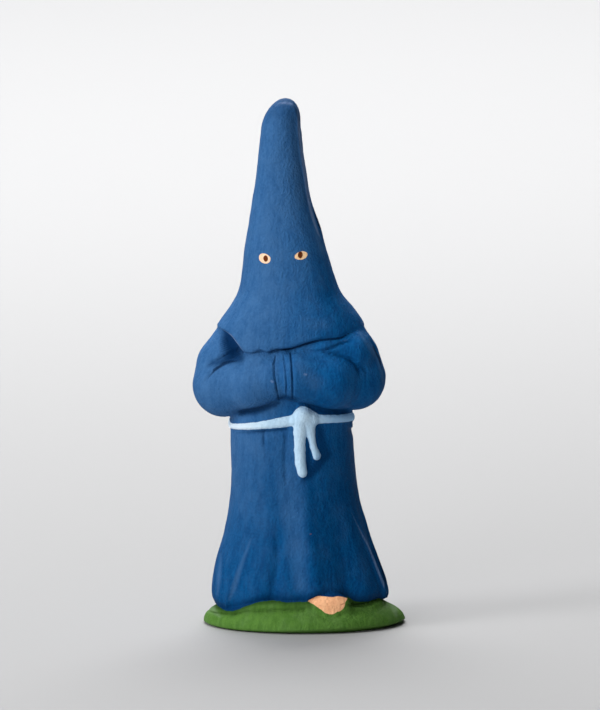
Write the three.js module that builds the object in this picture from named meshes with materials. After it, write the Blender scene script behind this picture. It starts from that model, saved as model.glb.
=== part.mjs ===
// A santon of a hooded penitent: one piece of fired and painted clay, moulded in a two-part mould
// together with the patch of ground that it stands on.
// The figure faces -Y, its left hand is at +X, and the underside of the ground lies on z = 0 with the
// origin at its centre.
//
// The form is a distance field: a function that is negative inside the clay and positive outside.
// The surface is then found along rays that leave the spine of the figure, ring by ring.
import * as THREE from "three";

// Driving sizes, in millimetres.
const FIGURE_HEIGHT = 90; // underside of the ground to the tip of the hood
const BASE_WIDTH = 34.7; // the patch of ground, side to side
const BASE_DEPTH = 31.35; // front to back
const MOUND_HEIGHT_FRONT = 5.5; // of the ground heaped up inside the robe
const MOUND_HEIGHT_BACK = 3.9;
const EDGE_LIFT = 0.45; // gap under the rounded front edge of the ground
const HEM_OVERHANG = 0.6; // of the robe over the ground
const HEM_TUCK = 0.27; // how far the robe curves in at the hem
const BELT_HEIGHT = 1.5; // of the cord round the waist
const BELT_PROUD = 0.38; // how far it stands out of the robe
const KNOT_RADIUS = 1.75; // the knot and the ends of the cord are half sunk in the robe
const LONG_TAIL_RADIUS = 0.9;
const SHORT_TAIL_RADIUS = 0.65;
const ROLL_RADIUS = 0.9; // of the rolls of ground along the hem
const FOOT_WIDTH = 8.1;
const FOOT_HEIGHT = 5.0; // of the whole rounded form, which is half sunk in the ground
const FOOT_REACH = 1.9; // how far the toes come out in front of their centre

// Facets of the surface.
const COLUMNS = 68;
const FRONT_CROWDING = 0.55; // 0 spreads the columns evenly, nearer 1 draws them to the front
const TIP_RINGS = 6;

// The pose, the outline and the carving are drawn in units of about a hundredth of the height. The tip
// would be 100 units up if it weren't pressed flat.
const TIP_HEIGHT = 99.69;
const U = FIGURE_HEIGHT / TIP_HEIGHT;
const FACET_ALLOWANCE = 0.05; // the facets are laid this far out, so that their flats aren't too far in

// Outlines: height, then how far the form reaches to -X, +X, -Y and +Y.
const ROBE = [
  [0, -15.8, 14.2, -12.6, 11.2],
  [4, -17.2, 15.2, -14, 12.2],
  [7, -17.6, 15.35, -14.2, 12.3],
  [12, -16.8, 13.75, -13.2, 11.4],
  [18, -15.15, 11.9, -11.8, 10.2],
  [26, -13.95, 10.05, -10.3, 9.4],
  [36, -14, 9.2, -9.7, 9],
  [40, -14, 9.1, -9.8, 9.1],
  [48, -13.6, 9.2, -10, 9.4],
  [60, -11, 6.5, -8.5, 8.4],
];
const HOOD = [
  [46, -18, 13.2, -12.2, 10.3],
  [53, -17.4, 12.45, -11.8, 9.9],
  [57, -16.4, 11.3, -11.2, 9.5],
  [60, -14.3, 9.35, -10.3, 8.9],
  [63, -12.6, 6.95, -9.5, 8.3],
  [67, -11.8, 5.4, -8.7, 7.6],
  [71, -11.4, 4.2, -7.9, 7.1],
  [75, -10.75, 2.9, -7, 6.5],
  [80, -9.95, 1.1, -5.8, 5.7],
  [85, -9.15, 0.2, -4.9, 5],
  [90, -8.62, -0.55, -4.3, 4.5],
  [94, -8.2, -0.9, -3.9, 4.2],
  [101, -7.7, -1.1, -3.3, 3.8],
];
const SECTION_POWER = 2.25; // 2 gives an ellipse, more squares it
const MOUND_POWER = 2.6;
const HOOD_TIP = { x: -4.5, y: 0.3, z: 94.4, rx: 3.65, ry: 4.2, rz: 5.35, lean: 0.17 };
const TIP_FACET = { at: [-4.2, -1.4, 99.1], facing: [0.14, -0.48, 0.87] }; // the tip is pressed flat here
const SPINE = [
  [0, -1],
  [36, -2.5],
  [60, -2.6],
  [75, -4.1],
  [100, -4.3],
];

// Arms, folded with each hand in the other sleeve: [x, y, z, radius] from the shoulder to the wrist.
const ARMS = [
  [
    [-10.9, 0.2, 56.9, 4.2],
    [-14.6, -1.2, 49.2, 5.55],
    [-15.1, -2.9, 45.6, 5.72],
    [-9.8, -7.8, 46.1, 4.5],
    [-6, -9.3, 47.5, 4.2],
  ],
  [
    [5.8, -2.8, 55.6, 5.4],
    [8.7, -3.3, 50.9, 5.1],
    [9.25, -3.4, 47.1, 5.85],
    [4.8, -7.8, 47.1, 5.35],
    [-1.4, -9.6, 48, 4.8],
  ],
];

// The cloth bunched on top of each forearm, in the same way.
const BUNCHED_SLEEVES = [
  [[-0.5, -8.2, 52.3, 3], [3.5, -7.5, 52.7, 3.5], [8.4, -5.4, 51.8, 4.9]],
  [[-11.6, -6.6, 49.3, 3.5], [-8, -7.7, 49.7, 3.7], [-4, -8.8, 50.3, 3.3]],
];

// Edges seen from the front: [x, height].
const CAPE_HEM = [
  [-17.5, 56.8],
  [-15.5, 56.5],
  [-13.8, 55.6],
  [-12.5, 54],
  [-11.3, 52.7],
  [-9.9, 52.6],
  [-8.2, 53.1],
  [-6.9, 52.8],
  [-5.5, 53.3],
  [-2.6, 53.6],
  [0.3, 54.5],
  [3.1, 55.2],
  [6.9, 55.5],
  [8.2, 56.1],
  [10.7, 56.8],
  [13, 56.9],
];
const CAPE_HEM_BACK = { middle: 51, rise: 0.026, centre: -2.5 };
const ROBE_HEM = [
  [-17.2, 3.9],
  [-15.7, 3.5],
  [-14.5, 3.45],
  [-13.2, 3.65],
  [-11.4, 4.6],
  [-9.7, 5.3],
  [-7.8, 5.7],
  [-5.4, 5.75],
  [-3.1, 5.5],
  [-1.2, 5.75],
  [0.4, 6],
  [1.6, 6.6],
  [2.7, 6.95],
  [4.6, 6.8],
  [6.4, 6.85],
  [8.2, 6.4],
  [9.3, 5.6],
  [10.6, 5.3],
  [12.3, 5.2],
  [14, 5.4],
  [15.8, 4.6],
];
const ROBE_HEM_BACK = 4.2;
// The cord's middle, and its thickness there as a share of its usual thickness.
const BELT_LINE = [
  [-14.2, 37.8, 0.6],
  [-8.8, 38.6, 0.84],
  [-4.5, 39.3, 1.14],
  [0, 40, 1.2],
  [5.4, 39.75, 0.9],
  [8.9, 39.6, 0.98],
];
const BELT_LINE_BACK = [38.8, 0.84];

// The knot and the ends of the cord that hang from it: [x, height, thickness as a share of its own].
const KNOT = [
  [-1.6, 39.8, 0.67],
  [-0.3, 40.4, 1],
  [1.45, 39.9, 0.72],
];
const LONG_TAIL = [
  [-0.6, 39.6, 1.6],
  [-0.85, 37.4, 1.2],
  [-0.9, 34.3, 1],
  [-0.75, 31.6, 1],
  [-0.4, 29.9, 0.95],
];
const SHORT_TAIL = [
  [0.8, 39.6, 2.08],
  [1.1, 37.4, 1.18],
  [1.6, 34.9, 0.83],
  [2.35, 32.85, 1],
];
const TAIL_FLATTENING = 1.3;
const FOOT = { x: 4.4, y: -12.9, z: 4.9 };

// Rolls of ground along the hem: [x, height, thickness as a share of the usual].
const GROUND_ROLLS = [
  [[-15.5, 2.9, 0.4], [-11.3, 4, 0.9], [-8, 4.7, 1], [-4, 5, 0.9], [0.5, 5.3, 0.7]],
  [[7.2, 5, 1], [9.3, 4.1, 0.7], [12.4, 4, 0.6], [14.4, 4.3, 0.7]],
];

// Creases pressed into the front, as strokes of [x, height]. A negative depth is a raised fold.
const CREASES = [
  // cuffs
  {
    path: [[-5.4, 52.2], [-5.75, 50.6], [-5.6, 48.5], [-5.3, 46.5], [-4.8, 43.6]],
    width: 0.45,
    depth: 0.5,
  },
  { path: [[-3.9, 52.2], [-3.6, 50], [-3.4, 47.4], [-3.45, 44.4]], width: 0.45, depth: 0.35 },
  { path: [[-2.6, 52.6], [-2.4, 50.5], [-2.25, 47.8], [-2.2, 44]], width: 0.45, depth: 0.5 },
  // sleeve at -X, and the fold of the cape over it
  { path: [[-14.3, 52], [-15.7, 51.2], [-17, 50.5], [-18.5, 49.7]], width: 0.45, depth: 0.45 },
  {
    path: [[-13.2, 50.9], [-15.4, 50.1], [-17.1, 48.9], [-18.2, 47.6], [-18.65, 46.4]],
    width: 0.45,
    depth: 0.5,
  },
  { path: [[-16.6, 57], [-13.9, 55.9], [-12.6, 54.5], [-11.4, 53.1]], width: 0.45, depth: -0.4 },
  // sleeve at +X
  { path: [[3.6, 53.2], [5.5, 53.6], [6.9, 54.2], [8.8, 54.5]], width: 0.45, depth: 0.52 },
  {
    path: [[-1.6, 53], [3.6, 52.9], [6, 52.3], [8.1, 51.5], [9.6, 50.6], [10.5, 48.3]],
    width: 0.45,
    depth: 0.4,
  },
  { path: [[8.4, 51.5], [9.6, 50.6], [10.4, 48.6]], width: 0.45, depth: 0.38 },
  { path: [[10.6, 50.3], [11.6, 48.7]], width: 0.45, depth: 0.26 },
  // undersides of the forearms
  { path: [[-12.6, 40.6], [-11.2, 41.1], [-7, 42.4], [-4.8, 43.5]], width: 0.5, depth: 0.7 },
  { path: [[-0.6, 43], [2.5, 41.9], [5.5, 41.2], [7.6, 41]], width: 0.45, depth: 0.6 },
  // cape and cord at +X
  { path: [[12.3, 54.6], [13.1, 53], [13.5, 52]], width: 0.45, depth: 0.3 },
  { path: [[8.6, 37.2], [9.1, 36.5], [9.4, 35.9]], width: 0.45, depth: 0.9 },
  // gathers under the cord
  { path: [[-12, 36.9], [-8, 37.3], [-3, 37.8]], width: 0.45, depth: 0.35 },
  { path: [[-7.6, 37.6], [-7.5, 34.4]], width: 0.45, depth: 0.3 },
  { path: [[-3.3, 37.9], [-3.6, 33], [-3.4, 28]], width: 0.6, depth: 0.3 },
  // skirt
  { path: [[-5.2, 19.5], [-4.9, 12.6], [-5.8, 7.2]], width: 0.7, depth: 0.3 },
  { path: [[0.8, 8.8], [4.5, 9.2], [8.8, 8.2]], width: 1.3, depth: 0.15 },
  // ground along the hem and round the foot
  {
    path: [[-18.2, 2.4], [-16, 2.65], [-13.6, 2.8], [-11.3, 3.6], [-7.5, 4.1], [0.1, 4.5]],
    width: 0.45,
    depth: 0.2,
  },
  { path: [[8.2, 5.2], [9.4, 4.7], [11, 4.55], [12.8, 4.75]], width: 0.45, depth: 0.4 },
  { path: [[2.3, 3.9], [3.9, 3], [6.3, 2.8], [7.7, 3.8]], width: 0.45, depth: 0.08 },
];

// The hollow between the cape and the sleeve at -X: [x, y, z, radius] of its ends.
const SLEEVE_HOLLOW = [[-14, -5.9, 54.8, 1.9], [-12.8, -6.6, 53.3, 2.5]];

// Folds of the skirt, by the angle from the front towards +X, in degrees. A negative rise is a valley.
const FOLDS = [
  { top: 39, foot: 4, topAngle: 9, footAngle: 14, width: 2.1, rise: 0.85 },
  { top: 30, foot: 4, topAngle: 43, footAngle: 40, width: 2.5, rise: -0.95 },
  { top: 24, foot: 4, topAngle: 63, footAngle: 73, width: 0.9, rise: 0.75 },
  { top: 32, foot: 4, topAngle: 76, footAngle: 82, width: 0.9, rise: 0.65 },
  { top: 22, foot: 4, topAngle: -16, footAngle: -20, width: 2.2, rise: -0.45 },
  { top: 19, foot: 6, topAngle: -15.5, footAngle: -20, width: 1.1, rise: -0.3 },
  { top: 17, foot: 4, topAngle: -41, footAngle: -57, width: 0.9, rise: 0.6 },
  { top: 20, foot: 4, topAngle: -39, footAngle: -50, width: 2.6, rise: -0.5 },
  { top: 24, foot: 4, topAngle: 128, footAngle: 132, width: 3, rise: -0.7 },
  { top: 26, foot: 4, topAngle: 160, footAngle: 156, width: 3.2, rise: 0.4 },
  { top: 27, foot: 4, topAngle: 184, footAngle: 186, width: 2.8, rise: -0.7 },
  { top: 24, foot: 4, topAngle: 222, footAngle: 226, width: 3, rise: -0.6 },
];

const clamp = THREE.MathUtils.clamp;
const lerp = THREE.MathUtils.lerp;
const smoothstep = THREE.MathUtils.smoothstep;

// A smooth curve through rows of [position, values...], held level past its ends.
function curve(rows, position, column) {
  const last = rows.length - 1;
  if (position <= rows[0][0]) return rows[0][column];
  if (position >= rows[last][0]) return rows[last][column];
  let i = 0;
  while (rows[i + 1][0] < position) i += 1;
  const slope = (k) => {
    const a = rows[Math.max(k - 1, 0)];
    const b = rows[Math.min(k + 1, last)];
    return (b[column] - a[column]) / (b[0] - a[0]);
  };
  const span = rows[i + 1][0] - rows[i][0];
  const t = (position - rows[i][0]) / span;
  const t2 = t * t;
  const t3 = t2 * t;
  return (
    (2 * t3 - 3 * t2 + 1) * rows[i][column] +
    (t3 - 2 * t2 + t) * span * slope(i) +
    (3 * t2 - 2 * t3) * rows[i + 1][column] +
    (t3 - t2) * span * slope(i + 1)
  );
}

// The smaller of two distances, rounded where they are closer than blend. smoothMax is its mirror.
function smoothMin(a, b, blend) {
  const near = Math.max(blend - Math.abs(a - b), 0);
  return Math.min(a, b) - (near * near) / (4 * blend);
}
const smoothMax = (a, b, blend) => -smoothMin(-a, -b, blend);

// How far a point lies outside a form whose level sections are given by an outline.
function fromOutline(rows, x, y, z) {
  const [left, right, front, back] = [1, 2, 3, 4].map((column) => curve(rows, z, column));
  const dx = x - (left + right) / 2;
  const dy = y - (front + back) / 2;
  const halfWidth = (right - left) / 2;
  const halfDepth = (back - front) / 2;
  const share = Math.pow(
    Math.pow(Math.abs(dx) / halfWidth, SECTION_POWER) + Math.pow(Math.abs(dy) / halfDepth, SECTION_POWER),
    1 / SECTION_POWER,
  );
  const smallest = 1e-3;
  if (share < smallest) return -Math.min(halfWidth, halfDepth);
  return Math.hypot(dx, dy) * (1 - 1 / share);
}

function fromEllipsoid(x, y, z, rx, ry, rz) {
  return (Math.hypot(x / rx, y / ry, z / rz) - 1) * Math.min(rx, ry, rz);
}

// Distance to a limb with ends [x, y, z, radius].
function fromLimb(a, b, x, y, z) {
  const [dx, dy, dz] = [b[0] - a[0], b[1] - a[1], b[2] - a[2]];
  const along = (x - a[0]) * dx + (y - a[1]) * dy + (z - a[2]) * dz;
  const t = clamp(along / (dx * dx + dy * dy + dz * dz), 0, 1);
  return Math.hypot(x - a[0] - t * dx, y - a[1] - t * dy, z - a[2] - t * dz) - lerp(a[3], b[3], t);
}

// Distance in the front view to a stroke of [x, height], and how far along the stroke that is, 0 to 1.
function fromStroke(path, x, z) {
  let best = Infinity;
  let along = 0;
  const steps = path.length - 1;
  for (let i = 0; i < steps; i += 1) {
    const [ax, az] = path[i];
    const [dx, dz] = [path[i + 1][0] - ax, path[i + 1][1] - az];
    const t = clamp(((x - ax) * dx + (z - az) * dz) / (dx * dx + dz * dz), 0, 1);
    const distance = Math.hypot(x - ax - t * dx, z - az - t * dz);
    if (distance < best) {
      best = distance;
      along = (i + t) / steps;
    }
  }
  return [best, along];
}

const bell = (share) => Math.exp(-share * share);
const isFront = (y) => 1 - smoothstep(y, -3, 3);

function capeHem(x, y) {
  const { middle, rise, centre } = CAPE_HEM_BACK;
  const back = Math.min(middle + rise * (x - centre) ** 2, CAPE_HEM[0][1]);
  return lerp(back, curve(CAPE_HEM, x, 1), isFront(y));
}
const robeHem = (x, y) => lerp(ROBE_HEM_BACK, curve(ROBE_HEM, x, 1), isFront(y));
const beltLine = (x, y) => lerp(BELT_LINE_BACK[0], curve(BELT_LINE, x, 1), isFront(y));

// Half the cord's thickness.
function beltHalf(x, y) {
  const share = lerp(BELT_LINE_BACK[1], curve(BELT_LINE, x, 2), isFront(y));
  return (share * BELT_HEIGHT) / 2 / U;
}

function foldRise(x, y, z) {
  const dx = x - curve(SPINE, z, 1);
  const radius = Math.hypot(dx, y);
  const angle = Math.atan2(dx, -y);
  let rise = 0;
  for (const fold of FOLDS) {
    const share = clamp((fold.top - z) / (fold.top - fold.foot), 0, 1);
    const centre = THREE.MathUtils.degToRad(lerp(fold.topAngle, fold.footAngle, share));
    const turn = Math.atan2(Math.sin(angle - centre), Math.cos(angle - centre));
    rise += fold.rise * smoothstep(share, 0, 0.8) * bell((turn * radius) / fold.width);
  }
  return rise;
}

function creaseDepth(x, y, z) {
  let depth = 0;
  for (const crease of CREASES) {
    const [distance, along] = fromStroke(crease.path, x, z);
    const fade = smoothstep(along, 0, 0.2) * (1 - smoothstep(along, 0.8, 1)) * 0.6 + 0.4;
    depth += crease.depth * fade * bell(distance / crease.width);
  }
  return depth * isFront(y);
}

function arm(joints, x, y, z) {
  let distance = Infinity;
  for (let i = 0; i < joints.length - 1; i += 1) {
    distance = smoothMin(distance, fromLimb(joints[i], joints[i + 1], x, y, z), 1.2);
  }
  return distance;
}

// The hood and its cape, which ends at the hem.
function hood(x, y, z) {
  const tip = HOOD_TIP;
  const above = z - tip.z;
  const tipX = tip.x + tip.lean * above;
  const dome = fromEllipsoid(x - tipX, y - tip.y, Math.max(above, 0), tip.rx, tip.ry, tip.rz);
  const rounded = lerp(fromOutline(HOOD, x, y, z), dome, smoothstep(above, -1.5, 1.5));
  const { at, facing } = TIP_FACET;
  const facet = (x - at[0]) * facing[0] + (y - at[1]) * facing[1] + (z - at[2]) * facing[2];
  return smoothMax(smoothMax(rounded, facet, 0.3), capeHem(x, y) - z, 0.7);
}

// A bead half sunk in a surface, along a front-view path of [x, height, share of the radius].
function beadOn(surface, path, radius, x, y, z) {
  let bead = Infinity;
  for (let i = 0; i < path.length - 1; i += 1) {
    const [distance, along] = fromStroke(path.slice(i, i + 2), x, z);
    const here = radius * lerp(path[i][2], path[i + 1][2], along);
    bead = smoothMin(bead, Math.hypot(distance, surface * TAIL_FLATTENING) - here, 0.2);
  }
  return bead + 2 * radius * (1 - isFront(y));
}

function cord(robe, x, y, z) {
  const proud = BELT_PROUD / U;
  const band = (Math.hypot((z - beltLine(x, y)) / beltHalf(x, y), robe / proud) - 1) * proud;
  const beads = [
    beadOn(robe, KNOT, KNOT_RADIUS / U, x, y, z),
    beadOn(robe, LONG_TAIL, LONG_TAIL_RADIUS / U, x, y, z),
    beadOn(robe, SHORT_TAIL, SHORT_TAIL_RADIUS / U, x, y, z),
  ];
  return beads.reduce((whole, bead) => smoothMin(whole, bead, 0.3), band);
}

// The patch of ground. Its front edge stands a little clear of what it rests on.
function ground(x, y, z) {
  const share = Math.max(Math.hypot(x / (BASE_WIDTH / 2 / U), y / (BASE_DEPTH / 2 / U)), 1e-3);
  const height = lerp(MOUND_HEIGHT_BACK, MOUND_HEIGHT_FRONT, isFront(y)) / U;
  const inside = Math.pow(share, MOUND_POWER) + Math.pow(Math.abs(z) / height, MOUND_POWER);
  const mound = (Math.pow(inside, 1 / MOUND_POWER) - 1) * height;
  const atFront = 0.3 + 0.7 * smoothstep(x, -16, 6) * isFront(y);
  const lift = (EDGE_LIFT / U) * smoothstep(share, 0.88, 1) * atFront;
  return smoothMax(mound, lift - z, 0.25);
}

// The robe with its folds, which end at the hem.
function foldedRobe(x, y, z) {
  const aboveHem = smoothstep(z - robeHem(x, y), -0.6, 0.3);
  return fromOutline(ROBE, x, y, z) - foldRise(x, y, z) * aboveHem;
}

// The robe with its hem, down to where it meets the ground.
function trunk(robe, x, y, z) {
  const below = robeHem(x, y) - z;
  const tuck = (HEM_TUCK / U) * smoothstep(below, -1.4, 0.1);
  const overhang = (HEM_OVERHANG / U) * smoothstep(below, -0.3, 0.5);
  return smoothMax(robe + tuck + overhang, z - ROBE[ROBE.length - 1][0], 1);
}

// The whole figure.
function figure(x, y, z) {
  const robe = foldedRobe(x, y, z);
  const creases = creaseDepth(x, y, z);
  const sleeves = [...ARMS, ...BUNCHED_SLEEVES]
    .map((joints) => arm(joints, x, y, z))
    .reduce((whole, sleeve) => smoothMin(whole, sleeve, 0.5));
  let body = smoothMin(trunk(robe, x, y, z), sleeves, 0.8);
  body = smoothMax(body, -arm(SLEEVE_HOLLOW, x, y, z), 0.45);
  body = smoothMin(body, hood(x, y, z), 0.35) + creases;
  body = smoothMin(body, cord(robe, x, y, z), 0.15);
  const toes = fromEllipsoid(
    x - FOOT.x, y - FOOT.y, z - FOOT.z, FOOT_WIDTH / 2 / U, FOOT_REACH / U, FOOT_HEIGHT / 2 / U,
  );
  const earth = GROUND_ROLLS.reduce(
    (whole, roll) => smoothMin(whole, beadOn(robe, roll, ROLL_RADIUS / U, x, y, z), 0.6),
    ground(x, y, z),
  );
  return smoothMin(body, smoothMin(earth, toes, 0.8) + creases, 0.15);
}

// Where a ray from the spine last leaves the clay, as its reach from the spine.
function reach(start, direction) {
  const point = new THREE.Vector3();
  const at = (t) => {
    point.copy(start).addScaledVector(direction, t);
    return figure(point.x, point.y, point.z) - FACET_ALLOWANCE;
  };
  const caution = 0.6; // the field can change faster than distance does
  let outside = 40;
  let t = outside;
  for (let step = 0; step < 400 && t > 0; step += 1) {
    const distance = at(t);
    if (distance < 0.002) break;
    outside = t;
    t -= Math.max(distance * caution, 0.01);
  }
  let inside = Math.max(t, 0);
  for (let step = 0; step < 20; step += 1) {
    const middle = (inside + outside) / 2;
    if (at(middle) > 0) outside = middle;
    else inside = middle;
  }
  return (inside + outside) / 2;
}

// Rings are named by their height on the robe. Five of them keep to an edge instead.
const HEM_RING = 5.1;
const CORD_FOOT_RING = 37.9;
const CORD_TOP_RING = 39.4;
const CAPE_RING = 53;
const LEVEL_RING = 66; // this ring and those above it are level again

// How many rings lie up to each height.
const RING_BANDS = [
  [2.8, 4],
  [4.6, 2],
  [5.6, 2],
  [8, 2],
  [28, 10],
  [37.6, 6],
  [39.6, 4],
  [42, 4],
  [52.6, 13],
  [53.4, 2],
  [58, 5],
  [65, 3],
  [93, 9],
];
const RING_TOP = RING_BANDS[RING_BANDS.length - 1][0];

// Heights that a ring keeps to, so that a row of edges runs along each hem and the cord.
function ringHeight(height, x, y) {
  const marks = [
    [0, 0],
    [HEM_RING, robeHem(x, y)],
    [CORD_FOOT_RING, beltLine(x, y) - beltHalf(x, y)],
    [CORD_TOP_RING, beltLine(x, y) + beltHalf(x, y)],
    [CAPE_RING, capeHem(x, y)],
    [LEVEL_RING, LEVEL_RING],
    [100, 100],
  ];
  let i = 0;
  while (marks[i + 1][0] < height) i += 1;
  const [low, high] = [marks[i], marks[i + 1]];
  return lerp(low[1], high[1], (height - low[0]) / (high[0] - low[0]));
}

// Rays dip outwards round the waist, so that they also meet the undersides of the sleeves.
const DIP = { height: 39, spread: 12, slope: 0.85 };

function ringPoint(height, angle) {
  const side = new THREE.Vector3(Math.sin(angle), -Math.cos(angle), 0);
  const nominal = new THREE.Vector3(curve(SPINE, height, 1), 0, height);
  const radius = -fromOutline(height > 50 ? HOOD : ROBE, nominal.x, nominal.y, height);
  const z = ringHeight(height, nominal.x + side.x * radius, side.y * radius);
  const slope = -DIP.slope * bell((z - DIP.height) / DIP.spread);
  const start = new THREE.Vector3(curve(SPINE, z, 1), 0, z - slope * radius);
  const direction = new THREE.Vector3(side.x, side.y, slope);
  return start.addScaledVector(direction, reach(start, direction));
}

function tipPoint(share, angle) {
  const start = new THREE.Vector3(curve(SPINE, RING_TOP, 1), 0, RING_TOP);
  const rise = (share * Math.PI) / 2;
  const direction = new THREE.Vector3(Math.sin(angle), -Math.cos(angle), 0).multiplyScalar(Math.cos(rise));
  direction.z = Math.sin(rise);
  return start.addScaledVector(direction, reach(start, direction));
}

// The surface: rings of points from the underside to the tip, closed by a point at each end.
function figureGeometry() {
  const angles = Array.from({ length: COLUMNS }, (_, i) => {
    const turn = (2 * Math.PI * i) / COLUMNS;
    return turn - FRONT_CROWDING * Math.sin(turn);
  });
  const rings = [angles.map((angle) => ringPoint(0, angle))];
  let from = 0;
  for (const [to, count] of RING_BANDS) {
    for (let i = 1; i <= count; i += 1) {
      rings.push(angles.map((angle) => ringPoint(lerp(from, to, i / count), angle)));
    }
    from = to;
  }
  for (let i = 1; i <= TIP_RINGS; i += 1) {
    rings.push(angles.map((angle) => tipPoint(i / (TIP_RINGS + 1), angle)));
  }
  for (const point of rings[0]) point.z = 0;

  const points = rings.flat();
  const bottom = points.push(new THREE.Vector3(0, 0, 0)) - 1;
  const top = points.push(tipPoint(1, 0)) - 1;
  const faces = [];
  const at = (ring, column) => ring * COLUMNS + (column % COLUMNS);
  for (let column = 0; column < COLUMNS; column += 1) {
    faces.push(bottom, at(0, column + 1), at(0, column));
    for (let ring = 0; ring < rings.length - 1; ring += 1) {
      const corners = [
        at(ring, column), at(ring, column + 1), at(ring + 1, column + 1), at(ring + 1, column),
      ];
      faces.push(corners[0], corners[1], corners[2], corners[0], corners[2], corners[3]);
    }
    faces.push(top, at(rings.length - 1, column), at(rings.length - 1, column + 1));
  }
  const geometry = new THREE.BufferGeometry().setFromPoints(points);
  geometry.setIndex(faces);
  geometry.scale(U, U, U);
  geometry.computeVertexNormals();
  return geometry;
}

function santon() {
  const paint = new THREE.MeshStandardMaterial({ color: 0x245a94, roughness: 0.62, metalness: 0 });
  const mesh = new THREE.Mesh(figureGeometry(), paint);
  mesh.name = "santon_figure";
  return mesh;
}

const group = new THREE.Group();
group.add(santon());
export default group;
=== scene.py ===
import functools
import math

import bpy
import numpy as np
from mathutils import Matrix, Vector, noise


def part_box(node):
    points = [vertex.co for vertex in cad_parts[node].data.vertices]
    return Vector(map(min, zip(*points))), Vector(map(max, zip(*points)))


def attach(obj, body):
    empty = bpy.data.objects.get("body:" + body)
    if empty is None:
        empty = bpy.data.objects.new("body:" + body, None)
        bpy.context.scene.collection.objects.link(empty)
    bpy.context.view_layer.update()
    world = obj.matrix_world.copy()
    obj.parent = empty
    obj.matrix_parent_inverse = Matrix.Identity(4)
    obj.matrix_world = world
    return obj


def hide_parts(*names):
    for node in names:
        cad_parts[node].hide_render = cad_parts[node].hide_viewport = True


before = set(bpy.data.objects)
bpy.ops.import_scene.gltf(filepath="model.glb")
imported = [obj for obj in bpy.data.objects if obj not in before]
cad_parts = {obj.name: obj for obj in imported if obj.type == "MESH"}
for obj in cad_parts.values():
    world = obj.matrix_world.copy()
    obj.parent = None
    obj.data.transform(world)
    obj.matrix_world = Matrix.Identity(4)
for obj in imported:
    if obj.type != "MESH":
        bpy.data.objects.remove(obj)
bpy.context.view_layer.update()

NODE = "santon_figure"
UNITS_HIGH = 99.77
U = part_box(NODE)[1].z / UNITS_HIGH  # metres in a unit

# The net of the surface: points round a ring, rings, and rings on the tip. The points are closer in front.
COLUMNS, RINGS, TIP_RINGS = ((380, 245, 12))
FRONT_CROWDING = 0.5
CURVE_POINTS = 1200
TINY = 1e-3  # keeps a share from being 0

# Rings are named by their height on the robe. Each band has the height that it ends at and its share of
# the rings. RING_AT says which rings run along the hems and the cord, and from which on they are level.
# Rings above HOOD_RINGS aim at the outline of the hood, and the rays round the waist slope down by DIP.
RING_BANDS = [
    (2.8, 6),
    (4.6, 4),
    (5.6, 3),
    (8, 4),
    (28, 13),
    (37.6, 10),
    (39.6, 5),
    (42, 5),
    (52.6, 20),
    (53.4, 2),
    (58, 7),
    (65, 5),
    (93, 16),
]
RING_TOP = RING_BANDS[-1][0]
RING_AT = dict(robe_hem=5.1, cord_low=37.9, cord_high=39.4, cape_hem=53, level=66, top=100)
HOOD_RINGS = 50
DIP = dict(height=39, spread=12, slope=0.85)

# How often the net, its hollow and the measured bends are evened out, and how far the net moves each
# time towards the middle of its neighbours. Bends sharper than SHARPEST_BEND count as that.
RELAX_STEPS = 4
HOLLOW_STEPS = 12
RELAX_SHARE = 0.5
BEND_STEPS = 2
SHARPEST_BEND = 9

# Unevenness left by the mould and the fingers, above LUMPS_FROM: size of a lump, how far it rises.
LUMPS_FROM = 1
LUMPS = [(4.5, 0.08), (1.7, 0.035), (0.8, 0.012)]

# The patch of ground. Its edge is lifted a little, most in front and towards +X.
BASE_HALF_WIDTH = 19.15
BASE_HALF_DEPTH = 17.3
MOUND_HEIGHT = dict(front=6.1, back=4.3)
MOUND_POWER = 2.6
EDGE_LIFT = dict(height=0.68, start=0.88, least=0.3, more=0.7, low_x=-16, full_x=6)

# How the robe steps in at its hem: depth, then how far below the hem a step starts and is full.
HEM_STEPS = [(0.67, -0.3, 0.5), (0.3, -1.4, 0.1)]

# The front turns into the back over SIDE_HALF each way. Distances added behind keep the forms and the
# paint of the front from showing there too, and painted lines end between the two PAINT_ENDS.
SIDE_HALF = 3
FORM_AWAY = 2
PAINT_AWAY = 3
PAINT_ENDS = (0, 2)
FAR = 9.0  # beyond any distance that matters to the paint

# Over what distance forms run into each other.
BLEND = dict(
    beads=0.2,
    cord=0.3,
    cord_on_robe=0.15,
    arm_joints=1.2,
    arms=0.5,
    arms_on_robe=0.8,
    robe_top=1,
    hood_on_robe=0.35,
    tip_facet=0.3,
    cape_hem=0.7,
    sleeve_hollow=0.45,
    rolls=0.6,
    foot=0.8,
    robe_on_ground=0.15,
    underside=0.25,
)

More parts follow.
